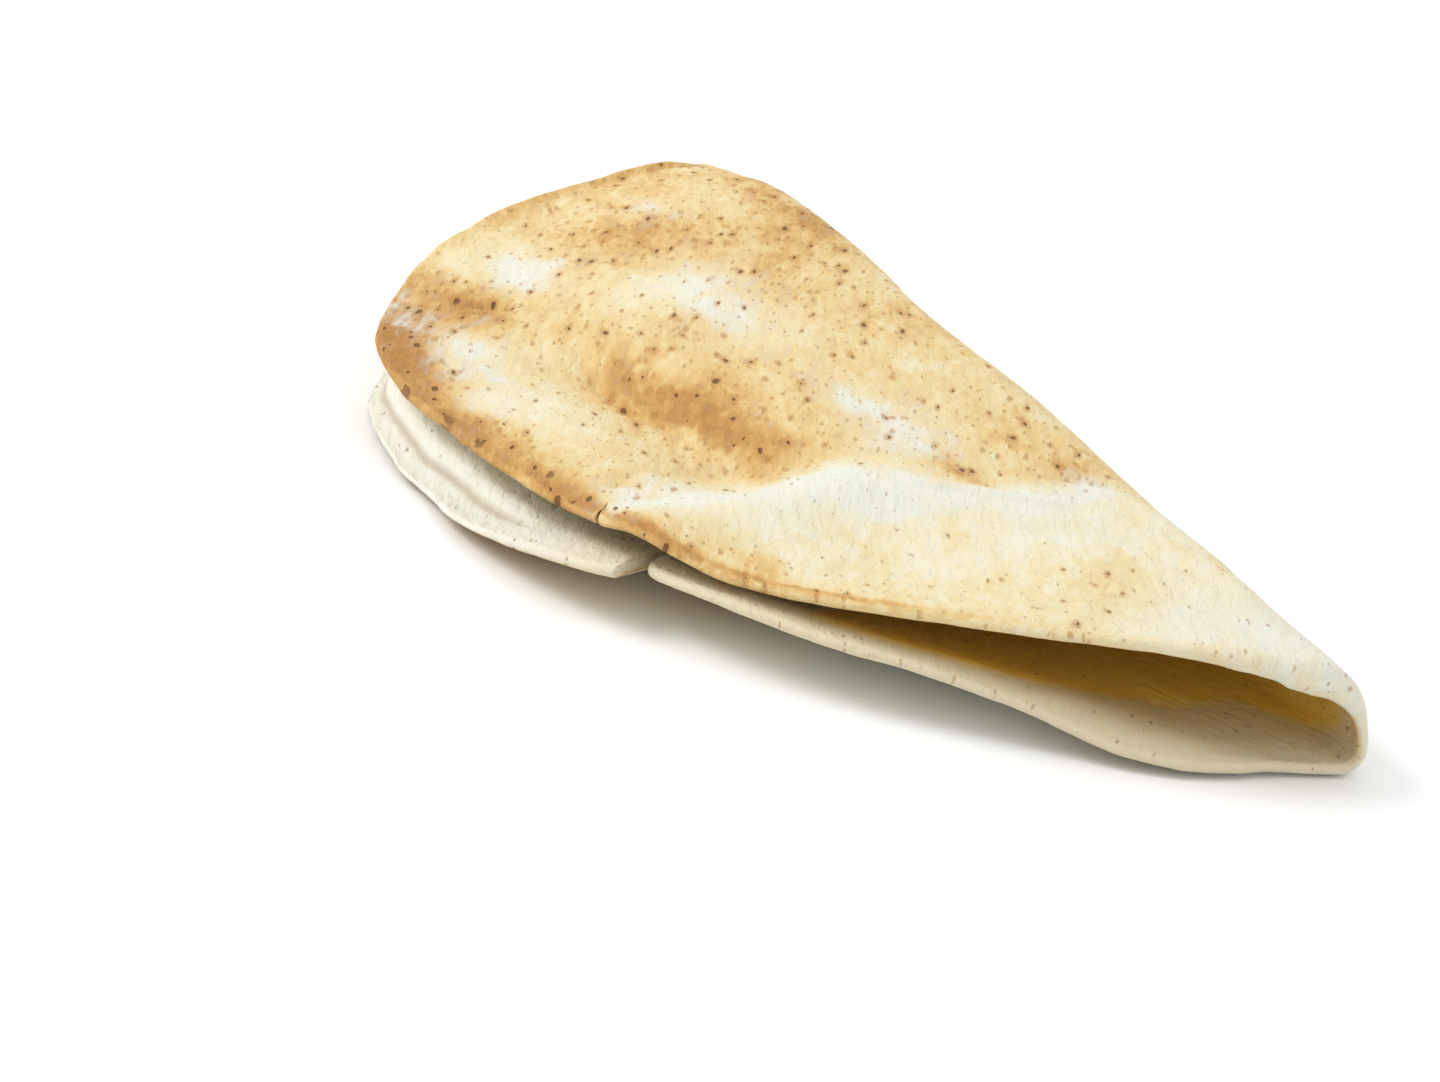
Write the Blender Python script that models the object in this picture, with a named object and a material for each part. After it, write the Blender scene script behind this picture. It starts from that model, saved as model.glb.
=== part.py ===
"""Pita bread: one thin round flatbread, folded once into a half-moon and lying on its lower leaf."""

import bpy
import numpy as np

# Driving dimensions, in metres
LOAF_LENGTH = 0.250  # along the fold, from tip to tip
LOAF_WIDTH = 0.262  # across the fold, before the loaf is folded
THICKNESS = 0.0028  # of the baked sheet
FAR_FOLD_HEIGHT = 0.0305  # outside height of the fold, in the taller half
NEAR_FOLD_HEIGHT = 0.0195  # outside height of the fold, near the pinched tip
FOLD_BULGE = 0.86  # how far the fold stands out sideways, as a share of its half height
FAR_CREASE = 0.50  # height of the sharpest bend, as a share of the fold's height, in the taller half
NEAR_CREASE = 0.20  # the same, at the pinched tip
FOLD_SWELL = 0.0023  # how far the far part of the fold stands out past its round
FOLD_WAIST = 0.0048  # how far the fold draws in a third of the way along
FAR_RIM_HEIGHT = 0.0180  # middle of the sheet at the rim of the upper leaf, at the far end
DIP_RIM_HEIGHT = 0.0140  # the same, at the dip halfway along
LOW_RIM_HEIGHT = 0.0136  # the same, where the two leaves nearly meet
MOUTH_RIM_HEIGHT = 0.0182  # the same, over the mouth
NEAR_RIM_HEIGHT = 0.0240  # the height it reaches for, beside the pinched tip
LOWER_RIM_LIFT = 0.0080  # how far the rim of the lower leaf curls up, where the leaves nearly meet
LOWER_ARCH = 0.0065  # how far the lower leaf arches off the table, inside its rim
VALLEY_DEPTH = 0.0035  # dent in the upper leaf, near its rim
RIDGE_HEIGHT = 0.0022  # fold line that crosses the upper leaf

# How far the rim stands out from the plain oval, at angles in degrees on the flat sheet
RIM_OUTLINE = (
    (-180, 0.0010),
    (-140, 0.0010),
    (-104, -0.0022),
    (-76, 0.0022),
    (-50, -0.0012),
    (-28, -0.0009),
    (-16, 0.0023),
    (-4, -0.0008),
    (8, 0.0010),
    (60, 0.0008),
    (82, -0.0026),
    (97, -0.0025),
    (145, 0.0022),
    (180, 0.0010),
)

# Mesh density
STEPS_AROUND = 72
RINGS = (0, 4, 8, 13, 18, 24, 32, 44, 58, 72, 86, 99, 110, 118, 124, 128.8)
RIM_ARC_STEPS = 4

HALF_SHEET = THICKNESS / 2
HALF_LENGTH = LOAF_LENGTH / 2 - HALF_SHEET  # to the middle of the rounded rim
HALF_WIDTH = LOAF_WIDTH / 2 - HALF_SHEET


def ease(start, end, x):
    """Rises smoothly from 0 at start to 1 at end."""
    t = np.clip((x - start) / (end - start), 0, 1)
    return t * t * (3 - 2 * t)


def streak(along, across, ends, widths):
    """1 on a line between two points of the flat sheet, fading to 0 beside it and past its ends."""
    (a0, c0), (a1, c1) = ends
    length = np.hypot(a1 - a0, c1 - c0)
    s = ((along - a0) * (a1 - a0) + (across - c0) * (c1 - c0)) / length
    t = ((across - c0) * (a1 - a0) - (along - a0) * (c1 - c0)) / length
    past = np.maximum(np.maximum(-s, s - length), 0)
    return np.exp(-((t / widths[0]) ** 2) - (past / widths[1]) ** 2)


def bell(x, width):
    """1 at x = 0, fading to 0 on either side."""
    return np.exp(-((x / width) ** 2))


def outline(angle):
    """How far the rim stands out from the plain oval."""
    degrees = np.degrees(angle)
    out = 0 * angle
    for (a0, out0), (a1, out1) in zip(RIM_OUTLINE, RIM_OUTLINE[1:]):
        here = (degrees >= a0) & (degrees < a1)
        out = np.where(here, out0 + (out1 - out0) * ease(a0, a1, degrees), out)
    return out


def sheet_middle(along, across):
    """Where a point of the flat round sheet lies once folded; across is negative on the lower leaf."""
    toward_near = ease(-0.100, 0.110, along)
    fold_height = FAR_FOLD_HEIGHT + (NEAR_FOLD_HEIGHT - FAR_FOLD_HEIGHT) * toward_near
    fold_height = fold_height - 0.0036 * ease(0.095, 0.125, -along) - 0.0045 * ease(0.119, 0.127, along)
    rise = fold_height - THICKNESS
    furthest = rise / 2 * FOLD_BULGE + FOLD_SWELL - FOLD_WAIST * bell(along + 0.031, 0.020)
    furthest = furthest + 0.0024 * ease(-0.012, 0.012, along) - 0.0032 * ease(0.106, 0.127, along)
    upper = across > 0
    below = FAR_CREASE + (NEAR_CREASE - FAR_CREASE) * ease(-0.020, 0.105, along)
    radius = rise * np.where(upper, 1 - below, below)
    wide = furthest * (1 + 0.5 * ease(0.075, 0.118, along))
    bulge = np.where(upper, wide, np.minimum(furthest, 1.25 * radius))
    quarter = np.pi / 2 * np.sqrt((radius**2 + bulge**2) / 2)
    turn = np.clip(np.abs(across) / quarter, 0, 1) * np.pi / 2
    flat = np.maximum(np.abs(across) - quarter, 0)
    leaf = np.sqrt(np.clip(1 - (along / HALF_LENGTH) ** 2, 0, 1)) * HALF_WIDTH - quarter
    share = np.clip(flat / np.maximum(leaf, 1e-4), 0, 1.2)
    long_leaf = np.clip(leaf / 0.060, 0, 1)

    rim = FAR_RIM_HEIGHT + (DIP_RIM_HEIGHT - FAR_RIM_HEIGHT) * ease(-0.085, -0.005, along)
    rim = rim + (LOW_RIM_HEIGHT - DIP_RIM_HEIGHT) * ease(0.010, 0.055, along)
    rim = rim + (MOUTH_RIM_HEIGHT - LOW_RIM_HEIGHT) * ease(0.074, 0.108, along)
    rim = rim + (NEAR_RIM_HEIGHT - MOUTH_RIM_HEIGHT) * ease(0.107, 0.120, along)
    drop = (rim - HALF_SHEET - rise) * ease(0, 1, share) * long_leaf
    valley = streak(along, across, ((-0.010, 0.091), (0.034, 0.086)), (0.011, 0.014))
    ridge = streak(along, across, ((0.056, 0.112), (0.045, 0.066)), (0.009, 0.012))
    ridge = ridge + streak(along, across, ((0.045, 0.066), (0.062, 0.030)), (0.009, 0.012))
    drop = drop + (RIDGE_HEIGHT * ridge - VALLEY_DEPTH * valley) * ease(0.05, 0.35, share)

    curl = LOWER_RIM_LIFT * ease(-0.005, 0.075, along) * (1 - 0.8 * ease(0.095, 0.125, along))
    arch = LOWER_ARCH * bell(along + 0.008, 0.052) * (1 - ease(-0.005, 0.075, along))
    lift = curl * ease(0.30, 1, share) + arch * ease(0.52, 0.80, share) * (1 - ease(0.87, 1, share))
    lift = lift * long_leaf

    y = furthest - bulge + bulge * np.cos(turn) - flat
    z = HALF_SHEET + rise * below + np.where(upper, 1, -1) * radius * np.sin(turn)
    z = z + np.where(upper, drop, lift)
    return np.stack([along + 0 * across, y, z], axis=-1)


def sheet_normal(along, across):
    """Points to the baked outside of the loaf: down from the lower leaf, up from the upper one."""
    step = 2e-4
    a = sheet_middle(along + step, across) - sheet_middle(along - step, across)
    c = sheet_middle(along, across + step) - sheet_middle(along, across - step)
    normal = np.cross(c, a)
    return normal / np.linalg.norm(normal, axis=-1, keepdims=True)


def loaf_mesh():
    """Both faces of the sheet and its rounded rim, as one closed skin."""
    t = np.arange(STEPS_AROUND) / STEPS_AROUND * 2 * np.pi
    angle = t - 0.35 * np.sin(2 * t)  # closer together where the rings cross the fold
    angle = np.where(angle > np.pi, angle - 2 * np.pi, angle)
    share = np.array(RINGS[1:])[:, None] / RINGS[-1]
    share = share * (1 + outline(angle) / HALF_WIDTH * ease(0.6, 1, share))
    along = HALF_LENGTH * share * np.cos(angle)
    across = HALF_WIDTH * share * np.sin(angle)
    middle = sheet_middle(along, across)
    normal = sheet_normal(along, across)
    outside = middle + HALF_SHEET * normal
    inside = middle - HALF_SHEET * normal

    edge = middle[-1]
    outward = edge - sheet_middle(along[-1] * 0.999, across[-1] * 0.999)
    outward = outward - (outward * normal[-1]).sum(-1, keepdims=True) * normal[-1]
    outward = outward / np.linalg.norm(outward, axis=-1, keepdims=True)
    arc = np.arange(1, RIM_ARC_STEPS) / RIM_ARC_STEPS * np.pi
    rim = [edge + HALF_SHEET * (np.cos(a) * normal[-1] + np.sin(a) * outward) for a in arc]

    centre = sheet_middle(np.zeros(1), np.zeros(1))
    centre_normal = sheet_normal(np.zeros(1), np.zeros(1))
    rings = np.concatenate([outside, np.array(rim), inside[::-1]])
    points = np.concatenate(
        [centre + HALF_SHEET * centre_normal, rings.reshape(-1, 3), centre - HALF_SHEET * centre_normal]
    )
    points[:, 2] = np.where(np.abs(points[:, 2]) < 2e-6, 0, points[:, 2])

    n = STEPS_AROUND
    last = len(points) - 1
    faces = []
    for j in range(n):
        k = (j + 1) % n
        faces.append((0, 1 + k, 1 + j))
        faces.append((last, last - n + j, last - n + k))
    for r in range(len(rings) - 1):
        for j in range(n):
            k = (j + 1) % n
            a, b = 1 + r * n, 1 + (r + 1) * n
            faces.append((a + j, a + k, b + k, b + j))
    return points, faces


def crust_material():
    material = bpy.data.materials.new("crust")
    material.use_nodes = True
    shader = material.node_tree.nodes["Principled BSDF"]
    shader.inputs["Base Color"].default_value = (0.80, 0.58, 0.31, 1)
    shader.inputs["Roughness"].default_value = 0.75
    return material


for old in list(bpy.data.objects):
    bpy.data.objects.remove(old, do_unlink=True)

loaf_points, loaf_faces = loaf_mesh()
low, high = loaf_points.min(axis=0), loaf_points.max(axis=0)
loaf_points = loaf_points - np.array([(low[0] + high[0]) / 2, (low[1] + high[1]) / 2, 0])
mesh = bpy.data.meshes.new("pita_bread")
mesh.from_pydata(loaf_points.tolist(), [], loaf_faces)
mesh.materials.append(crust_material())
mesh.shade_smooth()
loaf = bpy.data.objects.new("pita_bread", mesh)
bpy.context.scene.collection.objects.link(loaf)
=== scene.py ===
"""A pita bread, folded once into a half-moon, on a pale floor in soft studio light."""

import bpy
import numpy as np
from mathutils import Matrix, Vector


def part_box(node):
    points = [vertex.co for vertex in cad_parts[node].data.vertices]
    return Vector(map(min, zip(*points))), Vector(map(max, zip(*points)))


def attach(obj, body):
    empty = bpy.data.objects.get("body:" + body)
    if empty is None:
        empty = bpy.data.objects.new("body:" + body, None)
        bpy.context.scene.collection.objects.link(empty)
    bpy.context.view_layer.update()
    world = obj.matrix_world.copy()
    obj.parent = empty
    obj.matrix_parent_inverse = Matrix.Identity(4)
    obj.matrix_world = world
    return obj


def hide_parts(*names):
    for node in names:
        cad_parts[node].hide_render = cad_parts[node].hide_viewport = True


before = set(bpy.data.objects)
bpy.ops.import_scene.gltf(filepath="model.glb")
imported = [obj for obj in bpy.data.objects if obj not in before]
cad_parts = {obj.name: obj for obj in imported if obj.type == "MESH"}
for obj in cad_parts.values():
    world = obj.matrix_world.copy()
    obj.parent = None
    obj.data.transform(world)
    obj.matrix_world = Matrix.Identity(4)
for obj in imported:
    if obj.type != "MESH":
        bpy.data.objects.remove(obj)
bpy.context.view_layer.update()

low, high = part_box("pita_bread")

# All lengths are in millimetres of a loaf that is 251 mm long. MM turns them into metres.
LOAF_LENGTH = 251.04
MM = (high[0] - low[0]) / LOAF_LENGTH
FAR_END = -125.92  # along the fold, from the middle of the flat sheet
OUTSIDE_OF_FOLD = 15.6  # how far the fold stands out past the fold line
FOLD_LINE = Vector((low[0] - FAR_END * MM, high[1] - OUTSIDE_OF_FOLD * MM, low[2]))

HALF_SHEET = 1.4  # half the thickness of the dough
HALF_LENGTH = 125 - HALF_SHEET  # of the flat oval sheet, along the fold
HALF_WIDTH = 131 - HALF_SHEET  # of the flat sheet, from the fold line to the rim
RIM_RADIUS = 127  # of the flat sheet, taken as round

FAR_FOLD_HEIGHT = 30.5
NEAR_FOLD_HEIGHT = 19.5
FAR_END_DROP = 3.6
NEAR_END_DROP = 4.5
FOLD_BULGE = 0.86  # how far the fold stands out, against half of its height
FAR_CREASE = 0.50  # how high on the fold its outermost line is, against the height
NEAR_CREASE = 0.20

FAR_RIM_HEIGHT = 18.0
DIP_RIM_HEIGHT = 14.0
LOW_RIM_HEIGHT = 13.6
MOUTH_RIM_HEIGHT = 18.2
NEAR_RIM_HEIGHT = 24.0
LOWER_RIM_LIFT = 8.0
LOWER_ARCH = 6.5
DENT = 3.5
RIDGE = 2.2

CRACK = np.radians(66.2)  # of the upper rim, as an angle on the flat sheet
TEAR = np.radians(-60.7)  # of the lower rim
CRACK_RADIUS = 128  # turns an angle past the crack into millimetres
TEAR_RADIUS = 126
CRACK_DEPTH = 3.6
TEAR_DEPTH = 17

STEPS_AROUND = 640
RINGS = 150
RIM_STEPS = 8

DARKENING = 1.13  # of the picked colours, set so that the lit crust isn't too bright
SMALLEST_MARK = 0.002  # of a cell of the crust's pattern: too small to see


def ease(start, end, x):
    t = np.clip((x - start) / (end - start), 0, 1)
    return t * t * (3 - 2 * t)


def bell(x, width):
    return np.exp(-((x / width) ** 2))


def grain(x, y, size, seed):
    """Smooth random relief between -1 and 1, with bumps about that size across."""
    table = np.random.default_rng(seed).uniform(-1, 1, (97, 97))
    u, v = x / size + 40, y / size + 40
    i, j = np.floor(u).astype(int), np.floor(v).astype(int)
    f, g = u - i, v - j
    f, g = f * f * f * (f * (f * 6 - 15) + 10), g * g * g * (g * (g * 6 - 15) + 10)
    top = table[i % 97, j % 97] * (1 - f) + table[(i + 1) % 97, j % 97] * f
    bottom = table[i % 97, (j + 1) % 97] * (1 - f) + table[(i + 1) % 97, (j + 1) % 97] * f
    return top * (1 - g) + bottom * g


def streak(along, across, points, width):
    """1 on a line through the points, fading to 0 beside it."""
    nearest = np.full(np.broadcast(along, across).shape, 1e9)
    for (a0, c0), (a1, c1) in zip(points, points[1:]):
        length2 = (a1 - a0) ** 2 + (c1 - c0) ** 2
        s = np.clip(((along - a0) * (a1 - a0) + (across - c0) * (c1 - c0)) / length2, 0, 1)
        away = (along - a0 - s * (a1 - a0)) ** 2 + (across - c0 - s * (c1 - c0)) ** 2
        nearest = np.minimum(nearest, away)
    return np.exp(-nearest / width**2)


def middle(along, across):
    """Where a point of the flat round sheet lies once folded; across is negative on the lower leaf."""
    height = FAR_FOLD_HEIGHT + (NEAR_FOLD_HEIGHT - FAR_FOLD_HEIGHT) * ease(-100, 110, along)
    height = height - FAR_END_DROP * ease(-95, -125, along)
    height = height - NEAR_END_DROP * ease(119, 127, along)
    rise = height - 2 * HALF_SHEET
    # The fold stands out less at its waist and at the near end
    furthest = rise / 2 * FOLD_BULGE + 2.3 - 4.8 * bell(along + 31, 20)
    furthest = furthest + 2.4 * ease(-12, 12, along) - 0.6 * bell(along - 50, 14)
    furthest = furthest + 0.8 * bell(along - 75, 12) - 3.2 * ease(106, 127, along)
    # The fold is a quarter of an ellipse to the upper leaf and another to the lower one
    upper = across > 0
    below = FAR_CREASE + (NEAR_CREASE - FAR_CREASE) * ease(-20, 105, along)
    radius = rise * np.where(upper, 1 - below, below)
    wide = furthest * (1 + 0.5 * ease(75, 118, along))
    bulge = np.where(upper, wide, np.minimum(furthest, 1.25 * radius))
    quarter = np.pi / 2 * np.sqrt((radius**2 + bulge**2) / 2)
    turn = np.clip(np.abs(across) / quarter, 0, 1) * np.pi / 2
    flat = np.maximum(np.abs(across) - quarter, 0)
    leaf = np.sqrt(np.clip(1 - (along / HALF_LENGTH) ** 2, 0, 1)) * HALF_WIDTH - quarter
    share = np.clip(flat / np.maximum(leaf, 0.1), 0, 1.2)
    long_leaf = np.clip(leaf / 60, 0, 1)

    # The upper leaf falls from the fold to its rim, with a dent, a ridge and some sag
    rim = FAR_RIM_HEIGHT + (DIP_RIM_HEIGHT - FAR_RIM_HEIGHT) * ease(-85, -5, along)
    rim = rim + (LOW_RIM_HEIGHT - DIP_RIM_HEIGHT) * ease(10, 55, along)
    rim = rim + (MOUTH_RIM_HEIGHT - LOW_RIM_HEIGHT) * ease(74, 108, along)
    rim = rim + (NEAR_RIM_HEIGHT - MOUTH_RIM_HEIGHT) * ease(107, 120, along)
    drop = (rim - HALF_SHEET - rise) * ease(0, 1, share) * long_leaf
    on_leaf = ease(0.05, 0.35, share)
    dent = DENT * streak(along, across, ((-10, 91), (34, 86)), 11)
    ridge = RIDGE * streak(along, across, ((56, 112), (45, 66), (62, 30)), 9)
    sag = 0.9 * grain(along, across, 34, 1) + 0.35 * grain(along, across, 15, 2)
    drop = drop + (ridge - dent + sag) * on_leaf

    # The lower leaf lies flat, with a curled rim in the mouth and an arch behind the far rim
    curl = LOWER_RIM_LIFT * ease(-5, 75, along) * (1 - 0.8 * ease(95, 125, along))
    wave = 0.5 + 0.5 * np.cos(along / 13 + 1)
    lift = curl * ease(0.30, 1, share) + wave * ease(0.75, 1, share)
    arch = LOWER_ARCH * bell(along + 8, 52) * (1 - ease(-5, 75, along))
    lift = lift + arch * ease(0.52, 0.80, share) * ease(1, 0.87, share)
    lift = lift * long_leaf

    y = furthest - bulge + bulge * np.cos(turn) - flat
    z = HALF_SHEET + rise * below + np.where(upper, 1, -1) * radius * np.sin(turn)
    z = z + np.where(upper, drop, lift)
    return np.stack([along + 0 * across, y, z], axis=-1)


def normal(along, across):
    """Points to the baked outside of the loaf: down from the lower leaf, up from the upper one."""
    step = 0.2
    a = middle(along + step, across) - middle(along - step, across)
    c = middle(along, across + step) - middle(along, across - step)
    out = np.cross(c, a)
    return out / np.linalg.norm(out, axis=-1, keepdims=True)


def ray_angles():
    """Rays round the flat sheet, closer together at the fold, the crack and the tear."""
    t = np.linspace(-np.pi, np.pi, 6001)
    density = 1 + 1.2 * bell(np.sin(t), 0.22)
    density = density + 9 * bell(t - CRACK, 0.02) + 6 * bell(t - TEAR - 0.01, 0.04)
    total = np.concatenate([[0], np.cumsum((density[1:] + density[:-1]) / 2)])
    return np.interp(np.arange(STEPS_AROUND) / STEPS_AROUND * total[-1], total, t)


# How far the rim stands out from the plain oval, in millimetres, at angles in degrees
RIM_OUTLINE = (
    (-180, 1.0),
    (-140, 1.0),
    (-118, -0.4),
    (-104, -2.2),
    (-90, -0.3),
    (-76, 2.2),
    (-64, 1.9),
    (-57, -1.4),
    (-46, -1.2),
    (-28, -0.9),
    (-16, 2.3),
    (-4, -0.8),
    (8, 1.0),
    (30, 0.4),
    (60, 0.8),
    (70, -1.6),
    (82, -2.6),
    (97, -2.5),
    (120, -0.8),
    (145, 2.2),
    (180, 1.0),
)


def outline(angle):
    degrees = np.degrees(angle)
    out = 0 * angle
    for (a0, out0), (a1, out1) in zip(RIM_OUTLINE, RIM_OUTLINE[1:]):
        here = (degrees >= a0) & (degrees < a1)
        out = np.where(here, out0 + (out1 - out0) * ease(a0, a1, degrees), out)
    out = out + 0.2 * np.cos(17 * angle + 0.4) + 0.10 * np.cos(37 * angle + 1.9)
    out = out + 0.06 * np.cos(71 * angle + 0.7) + 0.04 * np.cos(139 * angle)
    past_crack = (angle - CRACK) * CRACK_RADIUS
    return out - 0.35 * np.tanh(past_crack / 0.3) * np.exp(-np.abs(past_crack) / 9)


def bites(angle):
    """The crack in the upper rim and the tear in the lower one, as depth in millimetres."""
    past_crack = (angle - CRACK) * CRACK_RADIUS
    past_tear = (angle - TEAR) * TEAR_RADIUS
    tear = np.where(past_tear < 0, TEAR_DEPTH * (1 + past_tear / 0.8), 0)
    slope = 12 * np.exp(-past_tear / 1.6) + 5 * np.exp(-past_tear / 8)
    tear = np.where(past_tear > 0, slope, tear)
    return CRACK_DEPTH * bell(past_crack, 0.45), np.maximum(tear, 0)


# Creases in the baked side: the line on the flat sheet, how deep and how wide
CREASES = (
    (((-49, 101), (-46, 95)), 1.1, 1.3),
    (((52, 55), (57, 45), (61, 33)), 0.9, 1.4),
    (((46, 30), (50, 20), (58, 13)), 0.7, 1.2),
    (((38, 111), (31, 103)), 0.6, 0.8),
    (((26, 62), (34, 58)), 0.6, 1.4),
    (((70, 20), (84, 12)), 0.6, 1.6),
    (((-22, 88), (-2, 90), (12, 86)), 0.7, 1.6),
    (((-14, 83), (2, 84), (18, 80)), 0.8, 2.4),
    (((31, 98), (29, 82), (33, 66), (46, 54), (51, 42)), 0.8, 3.0),
    (((66, 46), (74, 30), (90, 22)), 0.5, 2.0),
)


def build_loaf():
    angle = ray_angles()
    u = np.arange(1, RINGS + 1) / RINGS
    share = (u * (1.65 - 0.65 * u))[:, None]
    crack, tear = bites(angle)
    reach = share * (1 + outline(angle) / RIM_RADIUS * ease(0.6, 1, share))
    reach = reach - crack / RIM_RADIUS * ease(0.955, 1, share)
    reach = reach - tear / RIM_RADIUS * ease(0.72, 1, share)
    depth = (1 - reach) * RIM_RADIUS + outline(angle)
    # The crack and the tear run aslant, not straight to the middle of the sheet
    past_crack = (angle - CRACK) * CRACK_RADIUS
    past_tear = (angle - TEAR) * TEAR_RADIUS
    slant = 0.73 * depth * ease(16, 5, depth) * bell(past_crack - 2, 7)
    slant = slant - 0.30 * depth * ease(48, 16, depth) * bell(past_tear + 2, 18)
    ray = angle + slant / RIM_RADIUS
    along = HALF_LENGTH * reach * np.cos(ray)
    across = HALF_WIDTH * reach * np.sin(ray)
    mid = middle(along, across)
    out = normal(along, across)
    to_rim = (1 - share) * RIM_RADIUS + 0 * angle

    # The baked side, with pebbles and creases in it
    upper = ease(-8, 8, across)
    thin = 1 - 0.28 * ease(9, 0, to_rim) + 0.10 * bell(to_rim - 5, 3)
    half = HALF_SHEET * thin
    pebble = 0.10 * grain(along, across, 4.5, 3) + 0.05 * grain(along, across, 2.2, 4)
    pebble = pebble * (0.3 + 0.7 * upper)
    for points, deep, wide in CREASES:
        pebble = pebble - deep * streak(along, across, points, wide)
    outside = mid + out * (half + pebble)[..., None]
    outside[..., 2] = np.maximum(outside[..., 2], 0)

    # The inner side, with the seam where the two layers of the lower leaf part near its rim
    degrees = np.degrees(angle)
    layer_edge = 2.6 + 2.8 * ease(-105, -80, degrees) + 0.35 * np.cos(degrees / 4)
    layer = ease(-135, -112, degrees) * ease(-70, -79, degrees)
    lip = ease(layer_edge + 0.3, layer_edge - 0.9, to_rim) * layer
    groove = bell(to_rim - layer_edge, 0.6) * layer
    pillow = bell(to_rim - layer_edge - 3, 2.2) * layer
    soft = 0.12 * grain(along, across, 6, 5)
    relief = soft - 0.8 * lip - 0.9 * groove + 1.1 * pillow
    inside = mid - out * (half + relief)[..., None]

    # The rim, rounded from the one side to the other
    edge = mid[-1]
    outward = edge - middle(along[-1] * 0.998, across[-1] * 0.998)
    outward = outward - (outward * out[-1]).sum(-1, keepdims=True) * out[-1]
    outward = outward / np.linalg.norm(outward, axis=-1, keepdims=True)
    arc = np.arange(1, RIM_STEPS) / RIM_STEPS * np.pi
    middle_half = ((outside[-1] - inside[-1]) * out[-1]).sum(-1, keepdims=True) / 2
    centre_line = (outside[-1] + inside[-1]) / 2
    rim = [
        centre_line + middle_half * (np.cos(a) * out[-1] + 1.15 * np.sin(a) * outward)
        for a in arc
    ]
    rim = np.array(rim)
    rim[..., 2] = np.maximum(rim[..., 2], 0)

    # Rings from the middle of the baked side, over the rim, to the middle of the inner side
    start = middle(np.zeros(1), np.zeros(1))
    start_out = normal(np.zeros(1), np.zeros(1)) * HALF_SHEET
    rings = np.concatenate([outside, rim, inside[::-1]])
    points = np.concatenate([start + start_out, rings.reshape(-1, 3), start - start_out])

    turns = np.concatenate([np.zeros(RINGS), np.arange(1, RIM_STEPS) / RIM_STEPS, np.ones(RINGS)])
    inner = turns[:, None] + 0.5 * ease(15, -15, across[-1]) * (turns[:, None] > 0)
    beyond = np.sin(np.arange(1, RIM_STEPS) / RIM_STEPS * np.pi)[:, None] * 1.6
    flat_along = np.concatenate([along, along[-1] + beyond * np.cos(angle), along[::-1]])
    flat_across = np.concatenate([across, across[-1] + beyond * np.sin(angle), across[::-1]])
    distance = np.concatenate([to_rim, -beyond + 0 * angle, to_rim[::-1]])

    def all_points(rows, first, last):
        return np.concatenate([[first], rows.reshape(-1), [last]])

    n = STEPS_AROUND
    end = len(points) - 1
    faces = []
    j = np.arange(n)
    k = (j + 1) % n
    for r in range(len(rings) - 1):
        a, b = 1 + r * n, 1 + (r + 1) * n
        faces.append(np.stack([a + j, a + k, b + k, b + j], axis=1))
    faces = np.concatenate(faces).tolist()
    faces += np.stack([0 * j, 1 + k, 1 + j], axis=1).tolist()
    faces += np.stack([0 * j + end, end - n + j, end - n + k], axis=1).tolist()

    mesh = bpy.data.meshes.new("pita_loaf")
    world = points * MM + np.array(FOLD_LINE)
    mesh.from_pydata(world.tolist(), [], faces)
    values = {
        "along": all_points(flat_along, 0, 0),
        "across": all_points(flat_across, 0, 0),
        "inner": all_points(inner, 0, 1),
        "to_rim": all_points(distance, RIM_RADIUS, RIM_RADIUS),
    }
    toast, pale = toasting(values["along"], values["across"], values["to_rim"])
    values["toast"] = toast
    values["pale"] = pale
    values["rim_pits"] = bell(values["along"] - 2, 46) * ease(0, 40, values["across"])
    # Painted shade: where the warm dark deep inside the fold is coloured into the dough
    values["pocket_shade"] = pocket_shade(values["along"], values["across"], values["to_rim"])
    # Painted shade: the groove mask, used to colour a darker line into the lower leaf's groove
    values["groove_shade"] = all_points(np.concatenate([0 * along, 0 * rim[..., 0], groove[::-1]]), 0, 0)
    for name, numbers in values.items():
        layer = mesh.attributes.new(name, "FLOAT", "POINT")
        layer.data.foreach_set("value", numbers.astype(np.float32))
    # The crust's pattern is stretched 2.4 times along the camera's line of sight over the floor, so
    # that its marks look round from there. From above they look long.
    down_leaf = np.abs(values["across"] + 30) - 30
    drawn_out = 0.42 * (0.87 * values["along"] + 0.49 * down_leaf)
    sideways = 0.87 * down_leaf - 0.49 * values["along"]
    flat = np.stack([drawn_out, sideways, 4 * values["inner"]], axis=1)
    layer = mesh.attributes.new("flat_place", "FLOAT_VECTOR", "POINT")
    layer.data.foreach_set("vector", flat.astype(np.float32).reshape(-1))
    mesh.shade_smooth()
    return mesh


# Places on the flat sheet (along, across), their size along and across, and how much browner they are
BROWN_PATCHES = (
    (-76, 64, 20, 13, 0.30),
    (-84, 24, 28, 9, 0.32),
    (-50, 103, 14, 9, 0.30),
    (-30, 118, 20, 7, 0.32),
    (-6, 84, 22, 9, 0.32),
    (8, 79, 12, 5, 0.26),
    (28, 76, 15, 6, 0.24),
    (10, 122, 40, 5, 0.16),
    (30, 27, 20, 12, 0.12),
    (42, 47, 7, 3, 0.26),
    (47, 23, 8, 4, 0.14),
    (-22, 66, 14, 10, 0.12),
    (69, 103, 6, 4, 0.30),
    (59, 113, 5, 3, 0.24),
    (75, 99, 5, 3, 0.26),
    (44, 119, 6, 3, 0.22),
    (81, 17, 15, 8, 0.12),
    (-50, 36, 22, 10, 0.08),
)
PALE_PATCHES = (
    (-62, 86, 12, 8, 0.9),
    (-47, 116, 9, 5, 0.5),
    (-27, 109, 12, 9, 0.7),
    (-4, 112, 14, 8, 0.5),
    (-37, 56, 20, 10, 0.75),
    (-91, 49, 9, 6, 0.5),
    (20, 50, 17, 9, 0.8),
    (112, 18, 22, 30, 0.8),
)


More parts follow.
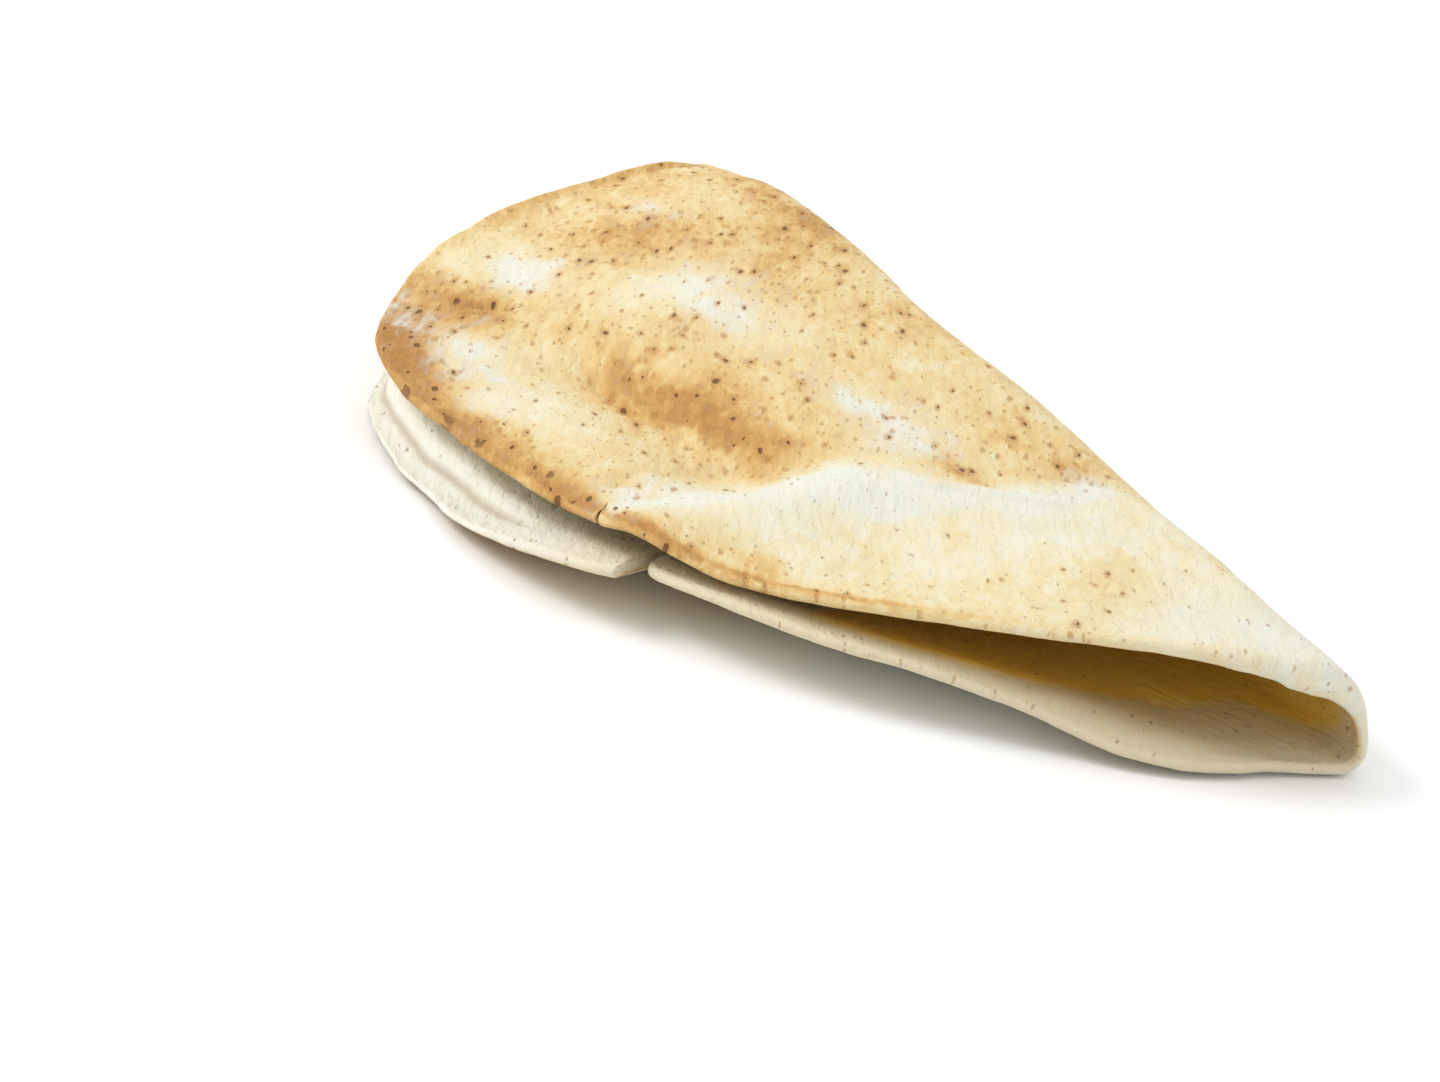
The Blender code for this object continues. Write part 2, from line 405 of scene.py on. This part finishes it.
def patches(along, across, places):
    value = 0 * along
    for a, c, wide, deep, strength in places:
        value = value + strength * np.exp(-(((along - a) / wide) ** 2) - ((across - c) / deep) ** 2)
    return value


def toasting(along, across, to_rim):
    """How well baked the outside is, 0 to 1, and where it stayed as white as flour, 0 to 1."""
    upper = ease(-30, 20, across)
    a = along + 4 * grain(along, across, 11, 11) + 2 * grain(along, across, 5, 12)
    c = across + 3 * grain(along, across, 11, 13) + 1.5 * grain(along, across, 5, 14)
    golden = 0.42 - 0.18 * ease(34, 60, a)
    below = 0.40 + 0.12 * grain(along, across, 30, 7) - 0.36 * ease(45, 80, along)
    value = golden * upper + below * (1 - upper)
    value = value + patches(a, c, BROWN_PATCHES)
    value = value + 0.10 * grain(along, across, 22, 8) + 0.10 * bell(to_rim, 2.5)
    value = value + 0.24 * bell(to_rim, 6) * bell(along + 5, 46) * upper
    value = value + 0.25 * bell(to_rim, 1.6) * ease(20, 60, along) * ease(112, 85, along) * upper
    white = patches(a, c, PALE_PATCHES) + 0.9 * streak(a, c, ((47, 108), (44, 86), (47, 70)), 9)
    white = white + 0.9 * streak(a, c, ((47, 70), (53, 58), (57, 43), (52, 22)), 5)
    return np.clip(value, 0, 1), np.clip(white * upper, 0, 1)


def pocket_shade(along, across, to_rim):
    """Painted shade: how much of the warm dark deep inside the fold is coloured into the dough, 0 to 1.
    """
    line = along - 0.9 * np.clip(across + 15, 0, 16) + 1.5 * grain(along, across, 7, 21)
    start = 26 - 24 * ease(62, 84, along)
    return ease(104, 97, line) * ease(start, start + 6, to_rim) * ease(0, 40, along)


def linear(red, green, blue):
    """A colour picked on screen, 0 to 255, as the shader's linear one, darkened for this light."""
    c = np.array([red, green, blue]) / 255
    return (*(np.where(c > 0.04045, ((c + 0.055) / 1.055) ** 2.4, c / 12.92) / DARKENING), 1)


class Nodes:
    """Adds shader nodes and links them."""

    def __init__(self, material):
        material.use_nodes = True
        self.tree = material.node_tree
        self.shader = self.tree.nodes["Principled BSDF"]

    def connect(self, value, socket):
        if isinstance(value, bpy.types.NodeSocket):
            self.tree.links.new(value, socket)
        else:
            socket.default_value = value

    def math(self, operation, *values):
        node = self.tree.nodes.new("ShaderNodeMath")
        node.operation = operation
        for value, socket in zip(values, node.inputs):
            self.connect(value, socket)
        return node.outputs[0]

    def mix(self, factor, first, second):
        node = self.tree.nodes.new("ShaderNodeMix")
        node.data_type = "RGBA"
        self.connect(factor, node.inputs[0])
        self.connect(first, node.inputs[6])
        self.connect(second, node.inputs[7])
        return node.outputs[2]

    def attribute(self, name, output="Fac"):
        node = self.tree.nodes.new("ShaderNodeAttribute")
        node.attribute_name = name
        return node.outputs[output]

    def noise(self, place, scale, detail, roughness, distortion=0):
        node = self.tree.nodes.new("ShaderNodeTexNoise")
        self.connect(place, node.inputs["Vector"])
        node.inputs["Scale"].default_value = scale
        node.inputs["Detail"].default_value = detail
        node.inputs["Roughness"].default_value = roughness
        node.inputs["Distortion"].default_value = distortion
        return node.outputs[0]

    def cells(self, place, scale):
        node = self.tree.nodes.new("ShaderNodeTexVoronoi")
        node.voronoi_dimensions = "2D"
        self.connect(place, node.inputs["Vector"])
        node.inputs["Scale"].default_value = scale
        parts = self.tree.nodes.new("ShaderNodeSeparateColor")
        self.connect(node.outputs["Color"], parts.inputs[0])
        return node.outputs["Distance"], parts.outputs[0]

    def wobbled(self, place, scale, amount):
        """The place moved about a little, so that round cells come out irregular."""
        node = self.tree.nodes.new("ShaderNodeTexNoise")
        self.connect(place, node.inputs["Vector"])
        node.inputs["Scale"].default_value = scale
        move = self.tree.nodes.new("ShaderNodeVectorMath")
        move.operation = "MULTIPLY_ADD"
        self.connect(node.outputs["Color"], move.inputs[0])
        move.inputs[1].default_value = (amount, amount, amount)
        self.connect(place, move.inputs[2])
        return move.outputs[0]

    def ramp(self, value, stops):
        node = self.tree.nodes.new("ShaderNodeValToRGB")
        ramp = node.color_ramp
        while len(ramp.elements) < len(stops):
            ramp.elements.new(0.5)
        for element, (place, colour) in zip(ramp.elements, stops):
            element.position = place
            element.color = colour
        self.connect(value, node.inputs[0])
        return node.outputs[0]

    def between(self, value, start, end):
        """0 at start, 1 at end, smooth in between."""
        node = self.tree.nodes.new("ShaderNodeMapRange")
        node.interpolation_type = "SMOOTHSTEP"
        self.connect(value, node.inputs["Value"])
        self.connect(start, node.inputs["From Min"])
        self.connect(end, node.inputs["From Max"])
        return node.outputs[0]

    def swayed(self, value, noise, amount):
        """The value, moved up and down by a noise."""
        return self.math("MULTIPLY_ADD", self.math("SUBTRACT", noise, 0.5), amount, value)

    def marks(self, distance, random, spread, base, core):
        """Round marks in the middles of the cells, as wide as base plus a random part of spread."""
        size = self.math("MULTIPLY_ADD", random, spread, base)
        size = self.math("MAXIMUM", size, SMALLEST_MARK)
        return self.between(distance, size, self.math("MULTIPLY", size, core))

    def tinted(self, colour, mask, strength, tint):
        return self.mix(self.math("MULTIPLY", mask, strength), colour, tint)


def crust():
    material = bpy.data.materials.new("crust")
    n = Nodes(material)
    place = n.attribute("flat_place", "Vector")
    inner = n.attribute("inner")
    to_rim = n.attribute("to_rim")

    cloud = n.noise(place, 0.07, 4, 0.6, 0.4)
    blotch = n.noise(place, 0.26, 4, 0.6, 0.5)
    mottle = n.noise(place, 0.62, 3, 0.6, 0.6)
    pebble = n.noise(place, 0.45, 2, 0.5, 0.4)
    powder = n.noise(place, 2.4, 3, 0.6)
    baked = n.swayed(n.attribute("toast"), cloud, 0.55)
    baked = n.swayed(baked, blotch, 0.55)
    baked = n.swayed(baked, mottle, 0.36)

    # Brown spots with a pinhole in some of them, fine dots, and pits along the far rim
    cell, random = n.cells(n.wobbled(place, 0.5, 1.3), 0.27)
    spot = n.marks(cell, random, 0.40, n.math("MULTIPLY_ADD", baked, 0.95, -0.50), 0.30)
    hole = n.marks(cell, random, 0.26, n.math("MULTIPLY_ADD", baked, 0.34, -0.31), 0.45)
    fine_cell, fine_random = n.cells(n.wobbled(place, 0.9, 0.7), 0.52)
    dot_base = n.math("MULTIPLY_ADD", baked, 0.75, -0.52)
    dot = n.marks(fine_cell, fine_random, 0.46, dot_base, 0.35)
    on_rim = n.math("MULTIPLY", n.between(to_rim, 11, 3), n.attribute("rim_pits"))
    pit_cell, pit_random = n.cells(n.wobbled(place, 0.7, 1.6), 0.21)
    pit_spread = n.math("MULTIPLY", on_rim, 0.40)
    pit = n.marks(pit_cell, pit_random, pit_spread, n.math("MULTIPLY", on_rim, -0.06), 0.3)

    outside = n.ramp(
        baked,
        (
            (0.06, linear(232, 228, 208)),
            (0.22, linear(232, 222, 188)),
            (0.38, linear(230, 210, 160)),
            (0.52, linear(224, 193, 132)),
            (0.68, linear(208, 164, 96)),
            (0.90, linear(178, 127, 66)),
        ),
    )
    floury = n.swayed(n.swayed(n.attribute("pale"), blotch, 1.6), mottle, 0.5)
    outside = n.mix(n.between(floury, 0.05, 1.0), outside, linear(228, 228, 214))
    outside = n.tinted(outside, spot, 0.60, linear(190, 138, 76))
    outside = n.tinted(outside, dot, 0.50, linear(184, 132, 70))
    outside = n.tinted(outside, hole, 0.85, linear(108, 70, 32))
    outside = n.tinted(outside, pit, 0.80, linear(132, 86, 44))

    # The inner side is white, beige towards the mouth, with painted shade: warm tan under the upper rim,
    # ochre deep in the fold and a brown line in the groove
    inside = n.ramp(
        n.swayed(n.swayed(0.35, cloud, 0.9), blotch, 0.5),
        (
            (0.2, linear(236, 236, 226)),
            (0.55, linear(233, 230, 214)),
            (0.9, linear(224, 213, 184)),
        ),
    )
    near_mouth = n.between(n.attribute("along"), 20, 80)
    upper_leaf = n.between(n.attribute("across"), -5, 5)
    # Painted shade: warm tan coloured onto the upper leaf's underside near its rim, for the bounced shade
    # there
    shade_under_rim = n.math("MULTIPLY", n.between(to_rim, 22, 4), upper_leaf)
    inside = n.tinted(inside, near_mouth, 0.8, linear(222, 205, 168))
    inside = n.tinted(inside, shade_under_rim, 0.7, linear(236, 204, 140))
    # Painted shade: ochre coloured deep inside the fold, for the warm dark there
    inside = n.mix(n.attribute("pocket_shade"), inside, linear(252, 216, 108))
    # Painted shade: a darker brown line coloured into the lower leaf's groove
    inside = n.tinted(inside, n.attribute("groove_shade"), 0.6, linear(168, 140, 100))
    inside_hole = n.marks(cell, random, 0.36, -0.23, 0.4)
    inside = n.tinted(inside, inside_hole, 0.60, linear(128, 88, 48))
    crumb_spread = n.math("MULTIPLY", near_mouth, 0.50)
    crumb_base = n.math("MULTIPLY", near_mouth, -0.30)
    crumb = n.marks(fine_cell, fine_random, crumb_spread, crumb_base, 0.4)
    inside = n.tinted(inside, crumb, 0.50, linear(160, 118, 70))
    colour = n.mix(n.between(inner, 0.60, 0.95), outside, inside)
    n.connect(colour, n.shader.inputs["Base Color"])

    relief = n.math("MULTIPLY", pebble, 0.50)
    heights = ((mottle, 0.28), (powder, 0.08), (spot, -0.20), (dot, -0.10), (hole, -0.60), (pit, -0.70))
    for mark, height in heights:
        relief = n.math("MULTIPLY_ADD", mark, height, relief)
    bump = n.tree.nodes.new("ShaderNodeBump")
    bump.inputs["Strength"].default_value = 1
    bump.inputs["Distance"].default_value = MM
    n.connect(relief, bump.inputs["Height"])
    n.connect(bump.outputs[0], n.shader.inputs["Normal"])

    n.connect(n.math("MULTIPLY_ADD", powder, 0.25, 0.55), n.shader.inputs["Roughness"])
    n.shader.inputs["Specular IOR Level"].default_value = 0.25
    n.shader.inputs["Subsurface Weight"].default_value = 0.12
    n.shader.inputs["Subsurface Radius"].default_value = (1.0, 0.6, 0.3)
    n.shader.inputs["Subsurface Scale"].default_value = 2 * MM
    return material


loaf_mesh = build_loaf()
loaf_mesh.materials.append(crust())
loaf = bpy.data.objects.new("pita_loaf", loaf_mesh)
bpy.context.scene.collection.objects.link(loaf)
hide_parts("pita_bread")
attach(loaf, "root")

# Floor, light and camera, in metres
FLOOR_HALF_SIDE = 4.0
FLOOR_GAP = 0.0002
FLOOR_GREY = 0.92
AMBIENT = 0.85
ELEVATION = np.radians(20.0)
AZIMUTH = np.radians(60.5)
ROLL = np.radians(11.0)
DISTANCE = 637 * MM
AIM = FOLD_LINE + Vector((24 * MM, -61 * MM, 0))

floor_mesh = bpy.data.meshes.new("floor")
corners = [(FLOOR_HALF_SIDE * x, FLOOR_HALF_SIDE * y, 0) for x, y in ((-1, -1), (1, -1), (1, 1), (-1, 1))]
floor_mesh.from_pydata(corners, [], [(0, 1, 2, 3)])
floor = bpy.data.objects.new("floor", floor_mesh)
floor.location = (0, 0, low[2] - FLOOR_GAP)
bpy.context.scene.collection.objects.link(floor)
floor_material = bpy.data.materials.new("floor")
floor_nodes = Nodes(floor_material)
floor_nodes.shader.inputs["Base Color"].default_value = (FLOOR_GREY, FLOOR_GREY, FLOOR_GREY, 1)
floor_nodes.shader.inputs["Roughness"].default_value = 0.9
floor_nodes.shader.inputs["Specular IOR Level"].default_value = 0.1
floor_mesh.materials.append(floor_material)

world = bpy.data.worlds.new("studio")
world.use_nodes = True
world.node_tree.nodes["Background"].inputs["Color"].default_value = (1, 1, 1, 1)
world.node_tree.nodes["Background"].inputs["Strength"].default_value = AMBIENT
bpy.context.scene.world = world


def softbox(name, place, side, power):
    """A square area light that faces the loaf."""
    light = bpy.data.lights.new(name, "AREA")
    light.shape = "SQUARE"
    light.size = side
    light.energy = power
    lamp = bpy.data.objects.new(name, light)
    lamp.location = place
    lamp.rotation_euler = (-Vector(place)).to_track_quat("-Z", "Y").to_euler()
    bpy.context.scene.collection.objects.link(lamp)


softbox("key", (-0.45, -0.85, 0.85), 0.7, 9)
softbox("fill", (0.3, 0.6, 1.2), 1.2, 3)

back = Vector(
    (
        np.sin(AZIMUTH) * np.cos(ELEVATION),
        -np.cos(AZIMUTH) * np.cos(ELEVATION),
        np.sin(ELEVATION),
    )
)
side = Vector((0, 0, 1)).cross(back).normalized()
over = back.cross(side)
right = side * np.cos(ROLL) + over * np.sin(ROLL)
up = over * np.cos(ROLL) - side * np.sin(ROLL)
camera_data = bpy.data.cameras.new("camera")
camera_data.lens = 90
camera_data.sensor_width = 36
camera_data.clip_start = 0.01
camera = bpy.data.objects.new("camera", camera_data)
turn = Matrix((right, up, back)).transposed()
camera.matrix_world = Matrix.Translation(AIM + back * DISTANCE) @ turn.to_4x4()
bpy.context.scene.collection.objects.link(camera)
bpy.context.scene.camera = camera
bpy.context.scene.view_settings.view_transform = "Standard"
